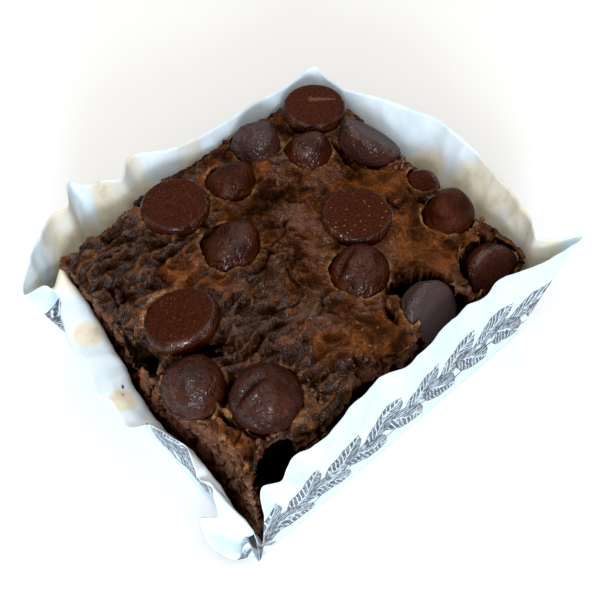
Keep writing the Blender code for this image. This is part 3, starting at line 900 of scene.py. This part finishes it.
def cut_across(mesh, height, keep_upper, name):
    """The part of a closed mesh on one side of a level plane, closed again."""
    shape = bmesh.new()
    shape.from_mesh(mesh)
    parts = shape.verts[:] + shape.edges[:] + shape.faces[:]
    cut = bmesh.ops.bisect_plane(shape, geom=parts, plane_co=(0, 0, height * MM), plane_no=(0, 0, 1),
                                 clear_inner=keep_upper, clear_outer=not keep_upper)
    edges = [item for item in cut["geom_cut"] if isinstance(item, bmesh.types.BMEdge)]
    bmesh.ops.holes_fill(shape, edges=edges, sides=0)
    for edge in edges:
        if edge.is_valid:
            edge.smooth = False
    half = bpy.data.meshes.new(name)
    shape.to_mesh(half)
    shape.free()
    return half


baked = baked_material("baked")
crumb = cut_across(body, CRUST_DOWN_TO, False, "crumb")
crust_piece = finish_piece("crust", cut_across(body, CRUST_DOWN_TO, True, "crust"), baked)
finish_piece("crumb", cut_across(crumb, CRUMB_DOWN_TO, True, "crumb_upper"), baked)
finish_piece("crumb_below", cut_across(crumb, CRUMB_DOWN_TO, False, "crumb_lower"), baked)
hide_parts("brownie")

# %% [markdown]
# ## The paper case
# Greaseproof paper is thin and springy. Its corners are folded, and between them its walls stand in soft
# waves that lean away from the brownie. The frame's case holds the true folds: they are read back from its
# solid as four rings of points, from the foot of the wall to its rim. A smooth sheet is then drawn through the
# rings, crumpled a little, and given two faces a tenth of a millimetre apart.

# %% The folds of the solid


def ring_order(ring, neighbours):
    """A ring's points in order round it, either way round."""
    order = [min(ring)]
    while len(order) < len(ring):
        following = [k for k in neighbours[order[-1]] if k in ring and k not in order[-2:]]
        if len(order) > 1:
            following = [k for k in following if k not in order] or following
        order.append(following[0])
    return order


def case_rings():
    """Rings of points on the outside of the case's wall, from its foot to its rim: (ring, fold, xyz) in mm."""
    mesh = merged_mesh("paper_case")
    points = points_of(mesh) / MM
    neighbours = [set() for _ in points]
    for edge in mesh.edges:
        first, second = edge.vertices
        neighbours[first].add(second)
        neighbours[second].add(first)
    reached = set(np.flatnonzero(points[:, 2] < 0.05))
    rings, front = [], reached
    for _ in range(4):
        front = {other for k in front for other in neighbours[k]} - reached
        reached = reached | front
        rings.append(ring_order(front, neighbours))
    first = np.array(points[rings[0]])
    turned = first[:, 0] * np.roll(first[:, 1], -1) - first[:, 1] * np.roll(first[:, 0], -1)
    if turned.sum() < 0:
        rings[0] = rings[0][::-1]
    for lower, upper in zip(rings, rings[1:]):
        options = [np.roll(way, shift) for way in (upper, upper[::-1]) for shift in range(len(upper))]
        linked = [sum(b in neighbours[a] for a, b in zip(lower, way)) for way in options]
        lengths = [np.linalg.norm(points[lower] - points[way], axis=1).sum() for way in options]
        best = min(range(len(options)), key=lambda k: (-linked[k], lengths[k]))
        upper[:] = [int(k) for k in options[best]]
    return np.array([points[ring] for ring in rings])


rings = case_rings()
print("rings and folds:", rings.shape[:2])

# %% A smooth sheet through the folds
ROUND, UP = 704, 40  # points round the case and up its wall
THICK = 0.11


def smooth_through(values, places, at, closed):
    """Catmull-Rom curves through values at rising places, read at other places."""
    count = len(places)
    if closed:
        period = places[-1] + np.linalg.norm(values[0] - values[-1], axis=-1).mean()
        places = np.concatenate([[places[-1] - period], places, [period, places[1] + period]])
        values = np.concatenate([values[-1:], values, values[:2]])
    else:
        places = np.concatenate([[2 * places[0] - places[1]], places, [2 * places[-1] - places[-2]]])
        values = np.concatenate([[2 * values[0] - values[1]], values, [2 * values[-1] - values[-2]]])
    spans = np.clip(np.searchsorted(places, at, side="right") - 1, 1, count if closed else count - 1)
    before, start, end, after = (values[spans + shift] for shift in (-1, 0, 1, 2))
    gaps = [places[spans + shift + 1] - places[spans + shift] for shift in (-1, 0, 1)]
    shape = (-1,) + (1,) * (values.ndim - 1)
    gap_before, gap, gap_after = (item.reshape(shape) for item in gaps)
    share = ((at - places[spans]) / gaps[1]).reshape(shape)
    rate = (end - start) / gap
    slope_start = (rate * gap_before + (start - before) / gap_before * gap) / (gap_before + gap)
    slope_end = (rate * gap_after + (after - end) / gap_after * gap) / (gap_after + gap)
    square, cube = share ** 2, share ** 3
    return ((2 * cube - 3 * square + 1) * start + (cube - 2 * square + share) * gap * slope_start
            + (3 * square - 2 * cube) * end + (cube - square) * gap * slope_end)


def sheet_points():
    """The outside of the wall as (up, round, xyz), in mm."""
    folds = rings.transpose(1, 0, 2)
    steps = np.linalg.norm(np.diff(folds, axis=0), axis=2)[:, [0, 3]].mean(axis=1)
    places = np.concatenate([[0.0], np.cumsum(np.maximum(steps, 0.2))])
    period = places[-1] + np.linalg.norm(folds[0] - folds[-1], axis=-1).mean()
    at = np.linspace(0, period, ROUND, endpoint=False)
    columns = smooth_through(folds, places, at, True).transpose(1, 0, 2)
    rises = np.array([0.0, 0.40, 0.80, 1.0])
    wall = smooth_through(columns, rises, np.linspace(0, 1, UP), False)
    return wall


def grid_normals(wall):
    """The outward normals of a wall that is closed round and open up."""
    round_way = np.roll(wall, -1, axis=1) - np.roll(wall, 1, axis=1)
    up_way = np.gradient(wall, axis=0)
    normals = np.cross(round_way, up_way)
    return normals / np.maximum(np.linalg.norm(normals, axis=2, keepdims=True), 1e-9)


def crumpled(wall):
    """The wall with the soft creases of thin paper."""
    flat = wall.reshape(-1, 3)
    rise = np.repeat(np.linspace(0, 1, UP), ROUND)
    upright = flat * (1.0, 1.0, 0.35)
    creases = puffy(upright, 7.5, 21) * 0.55 + puffy(flat, 3.4, 22) * 0.20 + noise(flat, 1.6, 23) * 0.04
    push = (creases - 0.2) * step(rise, 0.0, 0.25)
    return (flat + grid_normals(wall).reshape(-1, 3) * push[:, None]).reshape(wall.shape)


wall = crumpled(sheet_points())
print("wall", wall.shape, "from", wall.min(axis=(0, 1)).round(1), "to", wall.max(axis=(0, 1)).round(1))

# %% Two faces
STAINS = ((37.0, -9.0, 11.0), (38.5, -18.0, 12.0), (36.0, 3.0, 9.0), (38.0, -25.0, 8.0), (-24.0, 33.0, 9.0), (-11.0, 35.0, 9.0),
          (-33.0, 27.0, 6.0), (4.0, 34.0, 4.0), (33.0, 16.0, 5.0), (31.0, 26.0, 4.0), (-35.0, 15.0, 3.5), (-37.5, 1.0, 3.0))
FLOOR_SHARES = (0.90, 0.60, 0.30)  # rings of the base, as shares of its outline


def make_case_mesh():
    outer_floor = [np.concatenate([wall[0, :, :2] * share, np.zeros((ROUND, 1))], axis=1) for share in FLOOR_SHARES]
    outer = np.concatenate([outer_floor[::-1], wall])
    inner = outer - grid_normals(outer) * THICK
    inner[:len(FLOOR_SHARES)] = outer[:len(FLOOR_SHARES)] + (0, 0, THICK)
    rows = np.concatenate([outer, inner[::-1]])
    count = len(rows)
    grid = np.arange(count * ROUND).reshape(count, ROUND)
    after = np.roll(grid, -1, axis=1)
    faces = np.stack([grid[:-1], after[:-1], after[1:], grid[1:]], axis=-1).reshape(-1, 4)
    caps = [grid[0][::-1].tolist(), grid[-1].tolist()]
    mesh = bpy.data.meshes.new("case")
    mesh.from_pydata((rows.reshape(-1, 3) * MM).tolist(), [], faces.tolist() + caps)

    run = np.linalg.norm(np.roll(wall[0], -1, axis=0) - wall[0], axis=1)
    round_place = np.concatenate([[0.0], np.cumsum(run)[:-1]])
    rise = np.concatenate([np.zeros((1, ROUND)), np.cumsum(np.linalg.norm(np.diff(wall, axis=0), axis=2), axis=0)])
    floor_rise = -np.ones((len(FLOOR_SHARES), ROUND))
    up_place = np.concatenate([floor_rise, rise])
    add_values(mesh, "round_place", np.tile(round_place, count))
    add_values(mesh, "up_place", np.concatenate([up_place, up_place[::-1]]).ravel())
    share = np.clip(up_place / np.maximum(up_place[-1], 1.0), 0, 1)
    add_values(mesh, "rise", np.concatenate([share, share[::-1]]).ravel())
    add_values(mesh, "stain", spots(rows.reshape(-1, 3), STAINS))
    add_values(mesh, "inside", np.repeat([0.0, 1.0], count // 2 * ROUND))
    return mesh


case_mesh = make_case_mesh()
print("case of", len(case_mesh.polygons), "faces")

# %% Paper


PAPER_WHITE, PAPER_SHADE = (0.78, 0.87, 0.92), (0.68, 0.78, 0.85)
# painted shade: the outside of the case is painted darker than the inside, against the strong front light
PAPER_OUTSIDE = (0.61, 0.74, 0.84)
SOAKED, GREASY, INK = (0.76, 0.66, 0.46), (0.54, 0.46, 0.33), (0.060, 0.058, 0.066)
LEAF_EVERY, LEAF_LONG, LEAF_WIDE, LEAF_TILT, BAND_AT = 9.0, 6.6, 3.3, math.radians(40.0), 9.0


def leaf_print(net, round_place, up_place):
    """How much ink a band of hatched leaves on a stem puts at each place, with its sizes in mm."""
    wobble = net.noise(net.out("ShaderNodeCombineXYZ", {}, {0: round_place * 0.3, 1: up_place * 0.3}), 1.0, 3.0)
    leaves = 0.0
    for side, offset in ((1.0, 0.0), (-1.0, 0.5)):
        along = round_place / LEAF_EVERY + offset
        x = (along - net.math("FLOOR", along) - 0.5) * LEAF_EVERY
        y = up_place - BAND_AT - side * 2.2 + (wobble - 0.5) * 1.8
        lengthwise = x * math.cos(LEAF_TILT) + y * (side * math.sin(LEAF_TILT))
        across = net.math("ABSOLUTE", y * math.cos(LEAF_TILT) - x * (side * math.sin(LEAF_TILT)))
        room = LEAF_WIDE * (1.0 - (lengthwise / LEAF_LONG) ** 2.0) - across
        blade = net.step(room, 0.0, 0.18)
        outline = blade * net.step(room, 0.50, 0.28)
        hatch = net.step(net.math("SINE", (lengthwise - across * 1.1) * 5.0 + wobble * 9.0), -1.0, -0.5)
        leaf = net.math("MAXIMUM", blade * hatch * net.step(across, 0.08, 0.20), outline)
        leaves = net.math("MAXIMUM", leaves, leaf)
    stem_off = up_place - BAND_AT + 3.4 - net.math("SINE", round_place * (math.pi / LEAF_EVERY)) * 1.1
    stem = net.step(net.math("ABSOLUTE", stem_off), 0.34, 0.20)
    return net.math("MAXIMUM", leaves, stem) * net.step(wobble, 0.28, 0.40)


def paper_material():
    material, net, shader, place = new_material("greaseproof")
    inside, rise = net.attribute("inside"), net.attribute("rise")
    cloud = net.noise(place, 130.0, 4.0, 0.6)
    fibre = net.noise(place, 1100.0, 4.0, 0.7)
    color = net.mix(net.step(cloud, 0.35, 0.65), PAPER_SHADE, PAPER_WHITE)
    # painted shade: the outside faces are painted darker
    color = net.mix((1.0 - inside) * 0.75, color, PAPER_OUTSIDE)
    soaked = net.attribute("stain") * 0.55 - rise * 0.30 + net.noise(place, 160.0, 4.0, 0.6) * 0.8
    color = net.mix(net.step(soaked, 0.38, 0.80) * inside * 0.85, color, SOAKED)
    color = net.mix(net.step(soaked, 0.72, 0.84) * inside * 0.50, color, GREASY)
    ink = leaf_print(net, net.attribute("round_place"), net.attribute("up_place")) * (1.0 - inside)
    color = net.mix(ink * (0.60 + 0.40 * net.step(fibre, 0.38, 0.55)), color, INK)
    net.tree.links.new(color.socket, shader.inputs["Base Color"])
    shader.inputs["Roughness"].default_value = 0.62
    shader.inputs["Specular IOR Level"].default_value = 0.3
    bump = net.out("ShaderNodeBump", {}, {"Strength": 0.25, "Distance": 0.0002, "Height": fibre})
    net.tree.links.new(bump.socket, shader.inputs["Normal"])
    return material


case_piece = finish_piece("case_paper", case_mesh, paper_material())
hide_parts("paper_case")

# %% [markdown]
# ## Crumbs
# A few crumbs have dropped on the paper, and more lie where the crust is torn. Each is a pebble of its own
# size on a point that was found by looking straight down. Geometry Nodes put them there.

# %% Crumb tree


def pebble_tree():
    net, given, end = group_tree("pebbles", ("Rough", "Seed"))
    ball = net.out("GeometryNodeMeshIcoSphere", {}, {"Radius": 1.0, "Subdivisions": 3})
    size = net.out("GeometryNodeInputNamedAttribute", {"data_type": "FLOAT"}, {"Name": "size"})
    spread = net.out("FunctionNodeRandomValue", {"data_type": "FLOAT_VECTOR"},
                     {0: (0.55, 0.55, 0.45), 1: (1.25, 1.0, 0.85), "Seed": 3})
    turn = net.out("FunctionNodeRandomValue", {"data_type": "FLOAT_VECTOR"},
                   {0: (0.0, 0.0, 0.0), 1: (0.6, 0.6, 6.3), "Seed": 5})
    placed = net.out("GeometryNodeInstanceOnPoints", {}, {
        "Points": given["Geometry"], "Instance": ball, "Rotation": turn, "Scale": spread * size})
    real = net.out("GeometryNodeRealizeInstances", {}, {0: placed})
    place = net.out("GeometryNodeInputPosition")
    bumps = net.out("ShaderNodeTexNoise", {}, {"Vector": place, "Scale": 1500.0, "Detail": 2.0}, "Color")
    moved = net.out("GeometryNodeSetPosition", {}, {
        "Geometry": real, "Offset": (bumps - (0.5, 0.5, 0.5)) * given["Rough"]})
    painted = net.out("GeometryNodeSetMaterial", {}, {"Geometry": moved, "Material": given["Material"]})
    net.tree.links.new(painted.socket, end.inputs[0])
    return net.tree


# %% Scattered crumbs
PAPER_CRUMBS = ((35.0, -12.2, 0.55), (33.6, -16.8, 0.75), (34.8, -20.8, 0.5), (35.6, -16.2, 0.35),
                (36.6, -9.0, 0.3), (36.9, -14.6, 0.3), (-36.0, 3.3, 0.34), (-36.9, 1.9, 0.16), (-37.1, -5.4, 0.20),
                (7.0, 33.1, 0.3))
SPILLED = (  # (x, y, spread, how many, size) of the crumbs beside torn places
    (33.4, 4.6, 1.6, 16, 0.42), (34.2, -2.3, 1.6, 14, 0.42), (31.0, -17.0, 1.4, 10, 0.36),
    (-30.4, 5.0, 3.0, 14, 0.32),
    (-26.0, -24.0, 3.0, 24, 0.40), (-16.0, -22.0, 4.0, 26, 0.38), (-4.0, -23.5, 4.0, 24, 0.38),
    (20.0, 19.5, 3.0, 12, 0.30), (0.0, 27.0, 5.0, 16, 0.30), (-31.0, -12.0, 4.0, 22, 0.38),
)


def drop_points():
    """(points, sizes) in mm of crumbs that lie on whatever is under them."""
    random = np.random.default_rng(11)
    wanted = [(x, y, size, True) for x, y, size in PAPER_CRUMBS]
    for x, y, spread, count, size in SPILLED:
        around = random.normal((x, y), spread * 0.6, (count, 2))
        wanted += [(*at, size * random.uniform(0.5, 1.2), False) for at in around]
    surfaces = [BVHTree.FromPolygons([tuple(at) for at in points_of(mesh) / MM],
                                     [tuple(face.vertices) for face in mesh.polygons])
                for mesh in (crust_piece.data, case_piece.data)]
    found = []
    for x, y, size, on_paper in wanted:
        hits = [surface.ray_cast((x, y, 60.0), (0, 0, -1)) for surface in surfaces]
        at, normal = max(((hit[0], hit[1]) for hit in hits if hit[0]), key=lambda hit: hit[0].z, default=(None, None))
        if at and (on_paper or 22.5 < at.z < 26.5):
            found.append((*(at + normal * (0.6 if on_paper else 0.25) * size), size))
    found = np.array(found)
    return found[:, :3], found[:, 3]


def make_crumbs():
    places, sizes = drop_points()
    start = bpy.data.meshes.new("crumb_points")
    start.from_pydata((places * MM).tolist(), [], [])
    add_values(start, "size", sizes * MM)
    mesh = run_tree(pebble_tree(), {"Rough": 0.35 * MM, "Seed": 1.0, "Material": baked}, start)
    for name, value in (("crumb", 1.0), ("relief", 0.1)):
        add_values(mesh, name, np.full(len(mesh.vertices), value))
    finish_piece("loose_crumbs", mesh, baked)
    print(len(places), "crumbs")


make_crumbs()
